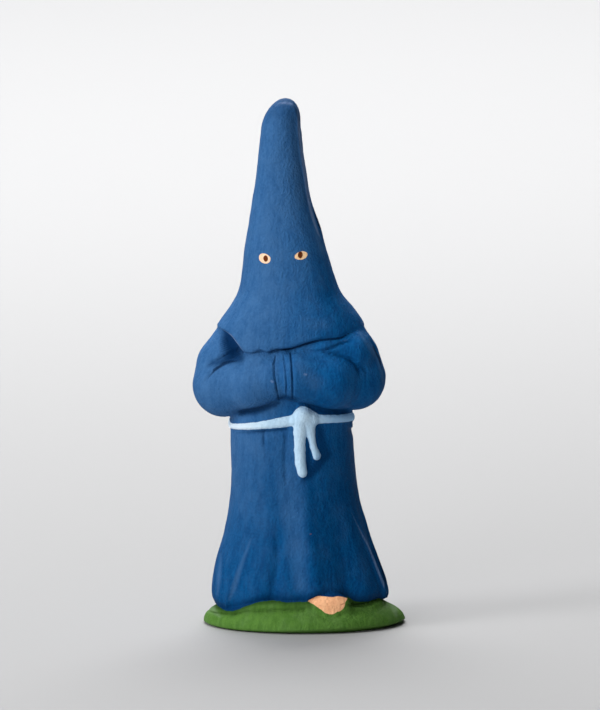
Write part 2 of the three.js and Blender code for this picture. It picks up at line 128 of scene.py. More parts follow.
# Outlines: height, then how far the form reaches to -X, +X, -Y and +Y. By their SECTION_POWER the level
# sections are a little squarer than ellipses.
ROBE = [
    [0, -15.8, 14.2, -12.6, 11.2],
    [4, -17.2, 15.2, -14.0, 12.2],
    [7, -17.6, 15.35, -14.2, 12.3],
    [12, -16.8, 13.75, -13.2, 11.4],
    [18, -15.15, 11.9, -11.8, 10.2],
    [26, -13.95, 10.05, -10.3, 9.4],
    [36, -14.0, 9.2, -9.7, 9.0],
    [40, -14.0, 9.1, -9.8, 9.1],
    [48, -13.6, 9.2, -10.0, 9.4],
    [60, -11.0, 6.5, -8.5, 8.4],
]
HOOD = [
    [46, -18.0, 13.2, -12.2, 10.3],
    [53, -17.4, 12.45, -11.8, 9.9],
    [57, -16.4, 11.3, -11.2, 9.5],
    [60, -14.3, 9.35, -10.3, 8.9],
    [63, -12.6, 6.95, -9.5, 8.3],
    [67, -11.8, 5.4, -8.7, 7.6],
    [71, -11.4, 4.2, -7.9, 7.1],
    [75, -10.75, 2.9, -7.0, 6.5],
    [80, -9.95, 1.1, -5.8, 5.7],
    [85, -9.15, 0.2, -4.9, 5.0],
    [90, -8.62, -0.55, -4.3, 4.5],
    [94, -8.2, -0.9, -3.9, 4.2],
    [101, -7.7, -1.1, -3.3, 3.8],
]
SECTION_POWER = 2.25
HOOD_TIP = dict(x=-4.5, y=0.3, z=94.4, rx=3.65, ry=4.2, rz=5.35, lean=0.17, blend=1.5)
TIP_FACET = dict(at=(-4.2, -1.4, 99.1), facing=(0.14, -0.48, 0.87))

# The mould's seam up the +X side of the hood: a step, a burr in front of it and a groove along it.
SEAM = dict(
    y=-2.0, start=-0.1, end=0.15, shift=0.3, low=71, full=76, width=0.22,
    burr=0.25, burr_at=-1.4, groove=0.35, groove_at=0.2, groove_height=78.5, groove_reach=4,
)

# The line inside the figure that its outlines and folds go round: [height, x].
SPINE = [[0, -1.0], [36, -2.5], [60, -2.6], [75, -4.1], [100, -4.3]]

# Arms, folded with each hand in the other sleeve: [x, y, z, radius] from the shoulder to the wrist.
ARMS = [
    [
        [-10.9, 0.2, 56.9, 4.35],
        [-14.6, -1.2, 49.2, 5.55],
        [-15.1, -2.9, 45.6, 5.72],
        [-9.8, -7.8, 46.1, 4.5],
        [-6.0, -9.3, 47.5, 4.2],
    ],
    [
        [5.8, -2.8, 55.6, 5.4],
        [8.7, -3.3, 50.9, 5.1],
        [9.25, -3.4, 47.1, 5.85],
        [4.8, -7.8, 47.1, 5.35],
        [-1.4, -9.6, 48.0, 4.8],
    ],
]
BUNCHED_SLEEVES = [
    [[-0.5, -8.2, 52.3, 3.0], [3.5, -7.5, 52.7, 3.5], [8.4, -5.4, 51.8, 4.9]],
    [[-11.6, -6.6, 49.3, 3.5], [-8.0, -7.7, 49.7, 3.7], [-4.0, -8.8, 50.3, 3.3]],
]

# Edges seen from the front: [x, height].
CAPE_HEM = [
    [-17.5, 56.8],
    [-15.5, 56.5],
    [-13.8, 55.6],
    [-12.5, 54.0],
    [-11.3, 52.7],
    [-9.9, 52.6],
    [-8.2, 53.1],
    [-6.9, 52.8],
    [-5.5, 53.3],
    [-2.6, 53.6],
    [0.3, 54.5],
    [3.1, 55.2],
    [6.9, 55.5],
    [8.2, 56.1],
    [10.7, 56.8],
    [13.0, 56.9],
]
CAPE_HEM_BACK = dict(middle=51, rise=0.026, centre=-2.5)
ROBE_HEM = [
    [-17.2, 3.9],
    [-15.7, 3.5],
    [-14.5, 3.45],
    [-13.2, 3.65],
    [-11.4, 4.6],
    [-9.7, 5.3],
    [-7.8, 5.8],
    [-5.4, 5.95],
    [-3.1, 5.8],
    [-1.2, 5.9],
    [0.4, 6.0],
    [1.6, 6.6],
    [2.7, 6.95],
    [4.6, 6.8],
    [6.4, 6.85],
    [8.2, 6.4],
    [9.3, 5.6],
    [10.6, 5.3],
    [12.3, 5.2],
    [14.0, 5.4],
    [15.8, 4.6],
]
ROBE_HEM_BACK = 4.2

# The cord: [x, height of its middle, half its height], the same at the back, and how far it stands out.
BELT = [
    [-14.2, 37.8, 0.5],
    [-8.8, 38.6, 0.7],
    [-4.5, 39.3, 0.95],
    [0, 40.0, 1.0],
    [5.4, 39.75, 0.75],
    [8.9, 39.6, 0.82],
]
BELT_BACK = (38.8, 0.7)
CORD_PROUD = 0.42

# The knot and the ends that hang from it, as beads: [x, height, radius].
KNOT = [[-1.6, 39.8, 1.3], [-0.3, 40.4, 1.95], [1.45, 39.9, 1.4]]
LONG_END = [[-0.6, 39.6, 1.6], [-0.85, 37.4, 1.2], [-0.9, 34.3, 1.0], [-0.75, 31.6, 1.0], [-0.4, 29.9, 0.95]]
SHORT_END = [[0.8, 39.6, 1.5], [1.1, 37.4, 0.85], [1.6, 34.9, 0.6], [2.35, 32.85, 0.72]]
BEAD_FLATTENING = 1.3

# Rolls of clay where the robe meets the ground, likewise as beads, and the end of the foot.
GROUND_ROLLS = [
    [[-15.5, 2.9, 0.4], [-11.3, 4.0, 0.95], [-8.0, 4.6, 1.1], [-4.0, 4.9, 1.05], [0.5, 5.2, 0.8]],
    [[7.2, 5.0, 1.0], [9.3, 4.1, 0.7], [12.4, 4.0, 0.6], [14.4, 4.3, 0.7]],
]
FOOT = dict(x=4.4, y=-12.9, z=4.9, rx=4.5, ry=2.1, rz=2.8)
FOOT_PAINT = [[0.35, 6.5, 0.3], [4.95, 5.7, 2.1], [6.0, 5.7, 1.7], [7.9, 6.4, 0.25]]
FOOT_PAINT_BACK = dict(start=-12.9, end=-12.1, away=6)

# Creases pressed into the front: (path of [x, height], width, depth). They grow shallow at both ends,
# and one with a negative depth is a raised rim.
CREASE_ENDS = dict(least=0.4, more=0.6, start=0.2, end=0.8)
CREASES = [
    ([[-5.4, 52.2], [-5.75, 50.6], [-5.6, 48.5], [-5.3, 46.5], [-4.8, 43.6]], 0.16, 0.42),
    ([[-3.9, 52.2], [-3.6, 50.0], [-3.4, 47.4], [-3.45, 44.4]], 0.15, 0.3),
    ([[-2.6, 52.6], [-2.4, 50.5], [-2.25, 47.8], [-2.2, 44.0]], 0.17, 0.45),
    ([[-14.3, 52.0], [-15.7, 51.2], [-17.0, 50.5], [-18.5, 49.7]], 0.2, 0.5),
    ([[-13.2, 50.9], [-15.4, 50.1], [-17.1, 48.9], [-18.2, 47.6], [-18.65, 46.4]], 0.18, 0.65),
    ([[-16.6, 57.0], [-13.9, 55.9], [-12.6, 54.5], [-11.4, 53.1]], 0.25, -0.4),
    ([[3.6, 53.2], [5.5, 53.6], [6.9, 54.2], [8.8, 54.5]], 0.26, 0.7),
    ([[-1.6, 53.0], [3.6, 52.9], [6.0, 52.3], [8.1, 51.5], [9.6, 50.6], [10.5, 48.3]], 0.3, 0.5),
    ([[8.4, 51.5], [9.6, 50.6], [10.4, 48.6]], 0.28, 0.5),
    ([[10.6, 50.3], [11.6, 48.7]], 0.26, 0.35),
    ([[-12.6, 40.6], [-11.2, 41.1], [-7.0, 42.4], [-4.8, 43.5]], 0.5, 0.7),
    ([[-0.6, 43.0], [2.5, 41.9], [5.5, 41.2], [7.6, 41.0]], 0.45, 0.6),
    ([[12.3, 54.6], [13.1, 53.0], [13.5, 52.0]], 0.22, 0.3),
    ([[8.6, 37.2], [9.1, 36.5], [9.4, 35.9]], 0.35, 0.9),
    ([[-12.0, 36.9], [-8.0, 37.3], [-3.0, 37.8]], 0.35, 0.35),
    ([[-7.6, 37.6], [-7.5, 34.4]], 0.3, 0.3),
    ([[-3.3, 37.9], [-3.6, 33.0], [-3.4, 28.0]], 0.6, 0.3),
    ([[-5.2, 19.5], [-4.9, 12.6], [-5.8, 7.2]], 0.7, 0.3),
    ([[0.8, 8.8], [4.5, 9.2], [8.8, 8.2]], 1.3, 0.15),
    ([[-18.2, 2.4], [-16, 2.65], [-13.6, 2.8], [-11.3, 3.6], [-7.5, 4.1], [0.1, 4.5]], 0.2, 0.2),
    ([[8.2, 5.2], [9.4, 4.7], [11.0, 4.55], [12.8, 4.75]], 0.3, 0.45),
    ([[2.3, 3.9], [3.9, 3.0], [6.3, 2.8], [7.7, 3.8]], 0.25, 0.08),
]
SLEEVE_HOLLOW = [[-14.0, -5.9, 54.8, 1.9], [-12.8, -6.6, 53.3, 2.5]]

# Fine lines of painted shade in creases and along the toe's edge, seen from the front: [x, height, half
# width]. A line fades out where its half width falls below 0.
CREASE_SHADE_LINES = [
    [[-14.5, 51.9, 0.12], [-15.7, 51.2, 0.1], [-17.0, 50.5, 0.06], [-18.5, 49.7, 0.01]],
    [[-12.6, 51.0, 0.05], [-14.0, 50.7, 0.25], [-15.4, 50.1, 0.3], [-17.1, 48.9, 0.25]],
    [[-17.1, 48.9, 0.25], [-18.2, 47.6, 0.15], [-18.65, 46.5, 0.03]],
    [[12.9, 15.5, 0.02], [13.9, 12.9, 0.15], [14.6, 10.7, 0.2], [15.3, 8.3, 0.18], [15.5, 6.9, 0.05]],
    [[3.6, 53.2, 0.03], [5.5, 53.6, 0.1], [6.9, 54.2, 0.12], [8.8, 54.5, 0]],
    [[-5.4, 52.2, 0.04], [-5.75, 50.6, 0.12], [-5.6, 48.5, 0.08], [-5.3, 46.5, 0.12], [-4.8, 43.6, 0.08]],
    [[-3.7, 50.8, 0.01], [-3.4, 47.4, 0.08], [-3.45, 44.6, 0.06]],
    [[-2.6, 52.4, 0.1], [-2.4, 50.5, 0.08], [-2.25, 47.8, 0.12], [-2.2, 44.0, 0.05]],
    [[12.8, 53.4, 0.08], [14.05, 51.0, 0.18], [14.65, 48.8, 0.06]],
    [[6.3, 5.15, 0], [7.0, 5.4, 0.08], [7.5, 5.6, 0.12]],
]
# Lines of painted shade in the grooves along the ground, seen from the front: [x, height, half width].
GROUND_SHADE_LINES = [
    [[-17.6, 2.5, 0.02], [-16, 2.65, 0.08], [-13.6, 2.8, 0.1], [-11.3, 3.6, 0.04], [0.1, 4.5, 0.02]],
    [[8.0, 5.3, 0.05], [9.4, 4.8, 0.22], [11.0, 4.7, 0.25], [12.8, 4.85, 0.08]],
]

# The painted shadow under the cape, from the front: how far below the hem, half width, and where it ends.
CAPE_SHADOW = dict(below=0.2, half=0.22, from_x=(-7, -3), to_x=(6, 11))

# The painted shade in the hollow beside the cape, as the corners of a patch of [x, height], clockwise.
HOLLOW_SHADE_PATCH = [
    [-15.3, 56.4], [-13.6, 55.6], [-12.2, 54.0], [-11.9, 52.2], [-12.7, 51.2], [-14.7, 51.0], [-15.5, 53.8],
]

# Painted shade in the groove beside the hood's seam, and painted highlights along the seam and on the
# skirt's edge, seen from the front and from the side.
SEAM_SHADE = dict(
    front=[
        [0.3, 87.5, 0], [0.95, 84.0, 0.1], [1.5, 80.8, 0.18], [1.95, 78.8, 0.28],
        [2.4, 77.2, 0.32], [3.0, 75.6, 0.3], [3.5, 74.3, 0.05],
    ],
    side=[[-1.7, 88.0, 0.1], [-1.5, 82.0, 0.4], [-1.2, 78.5, 0.8], [-1.1, 75.5, 0.8], [-1.1, 74.0, 0.1]],
)
SEAM_HIGHLIGHT = dict(
    front=[
        [-1.3, 98.0, -0.1], [-1.05, 94.0, 0.12], [-0.35, 88.2, 0.12], [0.3, 83.9, 0.15], [0.75, 81.0, 0.15],
        [1.27, 78.5, 0.15], [1.67, 76.9, 0.15], [2.46, 74.7, 0.05], [3.2, 73.2, -0.2],
    ],
    side=[[-1.6, 98.0, 0.9], [-1.6, 84.0, 0.9], [-2.3, 77.0, 1.0], [-2.8, 73.0, 0.9]],
)
SKIRT_HIGHLIGHT = dict(
    front=[
        [7.9, 25.0, -0.28], [8.8, 22.0, -0.15], [10.7, 17.9, -0.02], [12.2, 15.2, 0.05],
        [13.7, 11.3, 0.1], [14.9, 8.2, 0.08], [15.2, 6.8, -0.2],
    ],
    side=[[-7.2, 25.0, 0.7], [-6.3, 17.9, 0.6], [-5.7, 15.2, 0.55], [-5.5, 11.3, 0.6], [-5.6, 6.5, 0.4]],
)

# Painted highlights along ridges and on the tip's facet, seen from the front, and two pale specks.
HIGHLIGHTS_AND_SPECKS = [
    [[-15.5, 56.5, -0.2], [-13.9, 55.65, 0.08], [-12.6, 54.1, 0.08], [-11.45, 52.5, 0]],
    [[-5.8, 98.2, -0.25], [-4.9, 98.8, 0], [-3.7, 99.05, 0.02], [-2.5, 98.85, 0.02], [-1.6, 98.3, -0.2]],
    [[-6.2, 47.6, 0.08], [-6.0, 47.45, 0.08]],
    [[0.0, 48.95, 0.05], [0.3, 48.9, 0.05]],
]

# Broader lines seen from the front: painted highlights along ridges and at the ends of the ground, and
# painted shade in the hollow, under the sleeves and the cord, at the cuffs and beside the tails.
RIDGE_HIGHLIGHTS = [
    [[-10.2, 17.0, 0], [-11.7, 13.0, 0.15], [-12.6, 10.4, 0.3], [-13.4, 7.8, 0.35], [-14.2, 5.5, 0]],
    [[-15.8, 13.5, 0], [-16.2, 9.5, 0.3], [-16.5, 6.0, 0]],
    [[10.4, 56.0, 0], [12.6, 52.9, 0.3], [13.6, 51.2, 0.1], [14.4, 49.0, 0.2], [14.9, 46.5, 0]],
    [[1.9, 75.2, -0.1], [2.5, 73.4, 0.2], [3.2, 71.6, 0.2], [3.9, 69.6, -0.2]],
    [[-18.7, 2.9, 0.5], [-17.3, 3.1, 0.4], [-16.0, 2.2, 0]],
    [[16.3, 3.9, 0], [17.1, 3.0, 0.4], [17.4, 2.0, 0.1]],
]
SHADES = [
    [[-12.0, 51.4, 0.3], [-14.6, 50.9, 0.3], [-17.0, 50.2, 0], [-18.4, 49.4, -0.4]],
    [[-12.6, 36.8, -0.4], [-8.0, 37.5, -0.1], [-3.6, 38.1, -0.2]],
    [[-4.8, 44.0, 0.1], [-3.4, 44.4, 0.2], [-1.8, 44.0, 0.1]],
    [[-11.8, 40.8, 0.3], [-9.5, 41.4, 0.5], [-7.0, 42.2, 0], [-5.0, 43.0, 0]],
    [[-0.5, 42.6, 0], [1.5, 42.0, 0.3], [4.0, 41.2, 0.4], [7.8, 40.7, 0.35]],
    [[2.6, 38.6, 0.2], [3.1, 36.1, 0.5], [3.8, 33.0, 0.7], [2.2, 30.8, 0.6]],
    [[2.2, 30.8, 0.6], [1.0, 29.3, 0.3], [-0.2, 28.5, -0.1]],
    [[5.5, 52.3, -0.5], [8.1, 51.4, -0.3], [9.6, 50.4, -0.25], [10.4, 48.8, -0.5]],
    [[0.7, 36.0, -0.2], [0.7, 33.0, 0.2], [0.8, 30.5, 0.3]],
]

# Broad bands painted in the faded blue: worn paint, and painted highlights where the folds face the light.
WORN_AND_LIT_BANDS = [
    [[-3.8, 37.0, 2.2], [-3.2, 30.0, 2.2], [-2.0, 20.0, 1.3], [-0.8, 9.0, 0.3]],
    [[-1.0, 50.5, 0.5], [1.5, 47.5, 0.8]],
    [[-6.0, 60.0, 1.0], [-1.0, 58.5, 1.2], [3.0, 58.0, 0.5]],
]

# The painted eyes and a chip, seen from the front: middle, half width and half height, tilt in degrees.
EYES = [
    dict(at=(-7.48, 70.13), size=(1.13, 0.93), tilt=-20, white=(253, 212, 176), iris=(-7.3, 70.13)),
    dict(at=(-0.62, 70.68), size=(1.25, 0.74), tilt=13, white=(255, 212, 164), iris=(-0.8, 70.8)),
]
IRIS_SIZE = (0.45, 0.62)
CHIP = dict(at=(1.15, 18.45), size=(0.2, 0.16))

# The marks of the brush, the age of the paint and the patches of faded blue with its painted sheen: their
# sizes across and up in units, and how fine.
STREAKS = dict(across=0.9, up=5.0, detail=4.0, roughness=0.6)
GRAIN = dict(across=0.42, up=0.5, detail=3.0)
BLOOM = dict(across=3.2, up=4.5, detail=5.0, roughness=0.65)
PATCHES = dict(across=6.0, detail=3.0)

# How painted edges waver, how soft they are, and how high the marks of the brush stand.
WOBBLE = dict(across=1.4, detail=3.0)
WOBBLE_REACH = 0.3
EDGE_SOFTNESS = 0.05
BUMP_HEIGHT = 0.22

# The blue is faded, and carries a painted sheen on the lit -X side, where the weighted sum of patches,
# height and place across passes an edge.
FADED_AND_SHEEN = dict(across=-2.5, up=0.5, patches=20.0, edge=43.0, softness=21.0)

# Folds of the skirt: height of the top and foot, angle of each from the front towards +X, width, rise.
# A fold has its full rise at FOLD_FULL of the way down, and dies away between the FOLD_ENDS at the hem.
FOLD_FULL = 0.8
FOLD_ENDS = (-0.6, 0.3)
FOLDS = [
    (39, 4, 9, 14, 2.1, 0.85),
    (30, 4, 43, 40, 2.5, -0.95),
    (24, 4, 63, 73, 0.65, 0.75),
    (32, 4, 76, 82, 0.6, 0.65),
    (22, 4, -16, -20, 2.2, -0.45),
    (19, 6, -15.5, -20, 1.1, -0.3),
    (17, 4, -41, -57, 0.55, 0.6),
    (20, 4, -39, -50, 2.6, -0.5),
    (24, 4, 128, 132, 3.0, -0.7),
    (26, 4, 160, 156, 3.2, 0.4),
    (27, 4, 184, 186, 2.8, -0.7),
    (24, 4, 222, 226, 3.0, -0.6),
]


def curve(rows, column=1):
    """A smooth curve through rows of [position, values...], held level past its ends."""
    table = np.array(rows, float)
    at, value = table[:, 0], table[:, column]
    ahead, behind = np.r_[1:len(at), len(at) - 1], np.r_[0, 0:len(at) - 1]
    slope = (value[ahead] - value[behind]) / (at[ahead] - at[behind])
    fine = np.linspace(at[0], at[-1], CURVE_POINTS)
    i = np.clip(np.searchsorted(at, fine, side="right") - 1, 0, len(at) - 2)
    span = at[i + 1] - at[i]
    t = (fine - at[i]) / span
    smooth = (
        (2 * t**3 - 3 * t**2 + 1) * value[i]
        + (t**3 - 2 * t**2 + t) * span * slope[i]
        + (3 * t**2 - 2 * t**3) * value[i + 1]
        + (t**3 - t**2) * span * slope[i + 1]
    )
    return lambda position: np.interp(position, fine, smooth)


def lerp(a, b, share):
    return a + (b - a) * share


def smoothstep(value, low, high):
    t = np.clip((value - low) / (high - low), 0, 1)
    return t * t * (3 - 2 * t)


def bell(share):
    return np.exp(-share * share)


def smooth_min(a, b, blend):
    """The smaller of two distances, rounded where they are closer than blend."""
    near = np.maximum(blend - np.abs(a - b), 0)
    return np.minimum(a, b) - near * near / (4 * blend)


def smooth_max(a, b, blend):
    return -smooth_min(-a, -b, blend)


def blended(distances, blend):
    """Distances joined one after another by smooth_min."""
    return functools.reduce(lambda joined, here: smooth_min(joined, here, blend), distances)


def outline(rows):
    """The distance to a form whose level sections are given by rows, as a function."""
    sides = [curve(rows, column) for column in (1, 2, 3, 4)]

    def distance(x, y, z):
        left, right, front, back = (side(z) for side in sides)
        dx, dy = x - (left + right) / 2, y - (front + back) / 2
        share = (
            (2 * np.abs(dx) / (right - left)) ** SECTION_POWER
            + (2 * np.abs(dy) / (back - front)) ** SECTION_POWER
        ) ** (1 / SECTION_POWER)
        return np.hypot(dx, dy) * (1 - 1 / np.maximum(share, TINY))

    return distance


robe_outline = outline(ROBE)
hood_outline = outline(HOOD)
spine_x = curve(SPINE)
cape_hem_front = curve(CAPE_HEM)
robe_hem_front = curve(ROBE_HEM)
belt_front = [curve(BELT, column) for column in (1, 2)]


def ellipsoid(x, y, z, rx, ry, rz):
    return (np.sqrt((x / rx) ** 2 + (y / ry) ** 2 + (z / rz) ** 2) - 1) * min(rx, ry, rz)


def placed_ellipsoid(shape, x, y, z):
    return ellipsoid(x - shape["x"], y - shape["y"], z - shape["z"], shape["rx"], shape["ry"], shape["rz"])


def limb(a, b, x, y, z):
    """Distance to a limb with ends [x, y, z, radius]."""
    step = [b[k] - a[k] for k in range(3)]
    dx, dy, dz = x - a[0], y - a[1], z - a[2]
    along = dx * step[0] + dy * step[1] + dz * step[2]
    t = np.clip(along / sum(s * s for s in step), 0, 1)
    gap = np.sqrt((dx - t * step[0]) ** 2 + (dy - t * step[1]) ** 2 + (dz - t * step[2]) ** 2)
    return gap - lerp(a[3], b[3], t)


def to_segment(a, b, x, z):
    """Distance in the front view to the segment a to b, and how far along it the nearest point is."""
    dx, dz = b[0] - a[0], b[1] - a[1]
    t = np.clip(((x - a[0]) * dx + (z - a[1]) * dz) / (dx * dx + dz * dz), 0, 1)
    return np.hypot(x - a[0] - t * dx, z - a[1] - t * dz), t


def to_stroke(path, x, z):
    """Distance in the front view to a stroke of [x, height], and the share of the stroke behind it."""
    best, along = np.full(x.shape, np.inf), np.zeros(x.shape)
    steps = len(path) - 1
    for i in range(steps):
        distance, t = to_segment(path[i], path[i + 1], x, z)
        nearer = distance < best
        best = np.where(nearer, distance, best)
        along = np.where(nearer, (i + t) / steps, along)
    return best, along


def bead(surface, path, x, z):
    """A bead half sunk in a surface, along a front-view path of [x, height, radius]."""
    parts = []
    for a, b in zip(path, path[1:]):
        distance, t = to_segment(a, b, x, z)
        parts.append(np.hypot(distance, surface * BEAD_FLATTENING) - lerp(a[2], b[2], t))
    return blended(parts, BLEND["beads"])


def front_share(y):
    """1 in front, 0 behind."""
    return 1 - smoothstep(y, -SIDE_HALF, SIDE_HALF)


def added_behind(y, distance):
    """The distance behind the figure, and 0 in front."""
    return distance * (1 - front_share(y))


def cape_hem(x, y):
    back = CAPE_HEM_BACK["middle"] + CAPE_HEM_BACK["rise"] * (x - CAPE_HEM_BACK["centre"]) ** 2
    return lerp(np.minimum(back, CAPE_HEM[0][1]), cape_hem_front(x), front_share(y))


def robe_hem(x, y):
    return lerp(ROBE_HEM_BACK, robe_hem_front(x), front_share(y))


def belt(x, y):
    """Height of the cord's middle, and half its height."""
    front = front_share(y)
    return [lerp(back, side(x), front) for back, side in zip(BELT_BACK, belt_front)]


def fold_rise(x, y, z):
    dx = x - spine_x(z)
    radius = np.hypot(dx, y)
    angle = np.arctan2(dx, -y)
    rise = np.zeros(x.shape)
    for top, foot, top_angle, foot_angle, width, height in FOLDS:
        share = np.clip((top - z) / (top - foot), 0, 1)
        turn = angle - np.radians(lerp(top_angle, foot_angle, share))
        turn = np.arctan2(np.sin(turn), np.cos(turn))
        rise += height * smoothstep(share, 0, FOLD_FULL) * bell(turn * radius / width)
    return rise


def crease_depth(x, y, z):
    depth = np.zeros(x.shape)
    ends = CREASE_ENDS
    for path, width, deepest in CREASES:
        distance, along = to_stroke(path, x, z)
        full = smoothstep(along, 0, ends["start"])
        fade = ends["least"] + ends["more"] * full * (1 - smoothstep(along, ends["end"], 1))
        depth += deepest * fade * bell(distance / width)
    return depth * front_share(y)


def arm(joints, x, y, z):
    return blended([limb(a, b, x, y, z) for a, b in zip(joints, joints[1:])], BLEND["arm_joints"])


def from_facet(x, y, z):
    """Distance to the plane of the facet that the tip was pressed flat to."""
    away = (p - at for p, at in zip((x, y, z), TIP_FACET["at"]))
    return sum(distance * facing for distance, facing in zip(away, TIP_FACET["facing"]))


def hood(x, y, z):
    """The hood and its cape, which ends at the hem."""
    past_seam = smoothstep(y, SEAM["y"] + SEAM["start"], SEAM["y"] + SEAM["end"])
    on_seam_side = smoothstep(x - spine_x(z), -1, 1)
    seamed = smoothstep(z, SEAM["low"], SEAM["full"]) * on_seam_side
    cone = hood_outline(x - SEAM["shift"] * past_seam * seamed, y, z)
    above = z - HOOD_TIP["z"]
    dome = placed_ellipsoid(HOOD_TIP, x - HOOD_TIP["lean"] * above, y, np.maximum(z, HOOD_TIP["z"]))
    cone = lerp(cone, dome, smoothstep(above, -HOOD_TIP["blend"], HOOD_TIP["blend"]))
    edge = (y - SEAM["y"]) / SEAM["width"]
    burr = SEAM["burr"] * seamed
    groove = SEAM["groove"] * bell((z - SEAM["groove_height"]) / SEAM["groove_reach"]) * on_seam_side
    cone = cone - burr * bell(edge - SEAM["burr_at"]) + groove * bell(edge - SEAM["groove_at"])
    cone = smooth_max(cone, from_facet(x, y, z), BLEND["tip_facet"])
    return smooth_max(cone, cape_hem(x, y) - z, BLEND["cape_hem"])


def cord(robe, x, y, z):
    """The cord with its knot and ends, half sunk in the robe."""
    middle, half = belt(x, y)
    value = (np.hypot((z - middle) / half, robe / CORD_PROUD) - 1) * CORD_PROUD
    for path in (KNOT, LONG_END, SHORT_END):
        value = smooth_min(value, bead(robe, path, x, z) + added_behind(y, FORM_AWAY), BLEND["cord"])
    return value


def ground(x, y, z):
    """The patch of ground. Its front edge stands a little clear of what it rests on."""
    share = np.maximum(np.hypot(x / BASE_HALF_WIDTH, y / BASE_HALF_DEPTH), TINY)
    height = lerp(MOUND_HEIGHT["back"], MOUND_HEIGHT["front"], front_share(y))
    inside = share**MOUND_POWER + (np.abs(z) / height) ** MOUND_POWER
    mound = (inside ** (1 / MOUND_POWER) - 1) * height
    edge = EDGE_LIFT
    clear = edge["least"] + edge["more"] * smoothstep(x, edge["low_x"], edge["full_x"]) * front_share(y)
    lift = edge["height"] * smoothstep(share, edge["start"], 1) * clear
    return smooth_max(mound, lift - z, BLEND["underside"])


def folded_robe(x, y, z):
    """The robe with its folds, which end at the hem."""
    return robe_outline(x, y, z) - fold_rise(x, y, z) * smoothstep(z - robe_hem(x, y), *FOLD_ENDS)


def dressed(robe, x, y, z):
    """The robe and sleeves, before anything is pressed into them."""
    below = robe_hem(x, y) - z
    trunk = robe
    for depth, start, full in HEM_STEPS:
        trunk = trunk + depth * smoothstep(below, start, full)
    trunk = smooth_max(trunk, z - ROBE[-1][0], BLEND["robe_top"])
    sleeves = blended([arm(joints, x, y, z) for joints in ARMS + BUNCHED_SLEEVES], BLEND["arms"])
    return smooth_min(trunk, sleeves, BLEND["arms_on_robe"])


def figure(x, y, z):
    """The distance to the whole figure, negative inside."""
    robe = folded_robe(x, y, z)
    creases = crease_depth(x, y, z)
    body = smooth_max(dressed(robe, x, y, z), -arm(SLEEVE_HOLLOW, x, y, z), BLEND["sleeve_hollow"])
    body = smooth_min(body, hood(x, y, z), BLEND["hood_on_robe"]) + creases
    body = smooth_min(body, cord(robe, x, y, z), BLEND["cord_on_robe"])
    earth = ground(x, y, z)
    for roll in GROUND_ROLLS:
        earth = smooth_min(earth, bead(robe, roll, x, z) + added_behind(y, FORM_AWAY), BLEND["rolls"])
    earth = smooth_min(earth, placed_ellipsoid(FOOT, x, y, z), BLEND["foot"]) + creases
    return smooth_min(body, earth, BLEND["robe_on_ground"])


def recess(x, y, z):
    """How deep a point lies below the surface that the robe and hood had before anything was pressed in."""
    robe = dressed(folded_robe(x, y, z), x, y, z)
    return -smooth_min(robe, hood(x, y, z), BLEND["hood_on_robe"])


def ring_height(height, x, y):
    """Heights that a ring keeps to, so that a row of edges runs along each hem and the cord."""
    middle, half = belt(x, y)
    marks = [
        (0, 0),
        (RING_AT["robe_hem"], robe_hem(x, y)),
        (RING_AT["cord_low"], middle - half),
        (RING_AT["cord_high"], middle + half),
        (RING_AT["cape_hem"], cape_hem(x, y)),
        (RING_AT["level"], RING_AT["level"]),
        (RING_AT["top"], RING_AT["top"]),
    ]
    z = np.zeros(x.shape)
    for (low, z_low), (high, z_high) in zip(marks, marks[1:]):
        inside = (height >= low) & (height <= high)
        z = np.where(inside, lerp(z_low, z_high, (height - low) / (high - low)), z)
    return z


def reach(start, direction):
    """How far each ray goes from its start to where it last leaves the clay."""
    def value(rays, t):
        return figure(*(start[rays] + t[:, None] * direction[rays]).T)

    farthest, near = 30.0, 0.002
    caution, shortest, halvings = 0.6, 0.01, 12
    t = np.full(len(start), farthest)
    outside = t.copy()
    rays = np.arange(len(start))
    while len(rays):
        distance = value(rays, t[rays])
        marching = (distance > near) & (t[rays] > 0)
        rays = rays[marching]
        outside[rays] = t[rays]
        t[rays] -= np.maximum(distance[marching] * caution, shortest)
    inside = np.maximum(t, 0)
    everything = np.arange(len(start))
    for _ in range(halvings):
        middle = (inside + outside) / 2
        out = value(everything, middle) > 0
        outside = np.where(out, middle, outside)
        inside = np.where(out, inside, middle)
    return (inside + outside) / 2


def ring_rays(height, angle):
    """Rays out of the spine. Round the waist they dip, to meet the undersides of the sleeves."""
    side_x, side_y = np.sin(angle), -np.cos(angle)
    x = spine_x(height)
    zero = np.zeros(x.shape)
    outward = np.where(height > HOOD_RINGS, hood_outline(x, zero, height), robe_outline(x, zero, height))
    radius = -outward
    z = ring_height(height, x + side_x * radius, side_y * radius)
    slope = -DIP["slope"] * bell((z - DIP["height"]) / DIP["spread"])
    start = np.stack([spine_x(z), zero, z - slope * radius], axis=-1)
    return start, np.stack([side_x, side_y, slope], axis=-1)


def tip_rays(share, angle):
    """Rays that fan out from one point in the tip of the hood."""
    rise = share * math.pi / 2
    flat = np.cos(rise)
    direction = np.stack([np.sin(angle) * flat, -np.cos(angle) * flat, np.sin(rise)], axis=-1)
    start = np.zeros(direction.shape) + [float(spine_x(RING_TOP)), 0, RING_TOP]
    return start, direction


def ring_heights():
    total = sum(count for _, count in RING_BANDS)
    heights, low = [0.0], 0.0
    for high, count in RING_BANDS:
        rings = max(1, round(count * RINGS / total))
        heights.extend(lerp(low, high, (i + 1) / rings) for i in range(rings))
        low = high
    return np.array(heights)


def slopes(points):
    """The field and its gradient at each point."""
    step = 0.01
    value = figure(*points.T)
    ahead = [figure(*(points + step * axis).T) for axis in np.eye(3)]
    return value, (np.stack(ahead, axis=-1) - value[:, None]) / step


def lumps(points):
    return sum(
        rise * np.array([noise.noise(Vector(point)) for point in (points / size).tolist()])
        for size, rise in LUMPS
    )


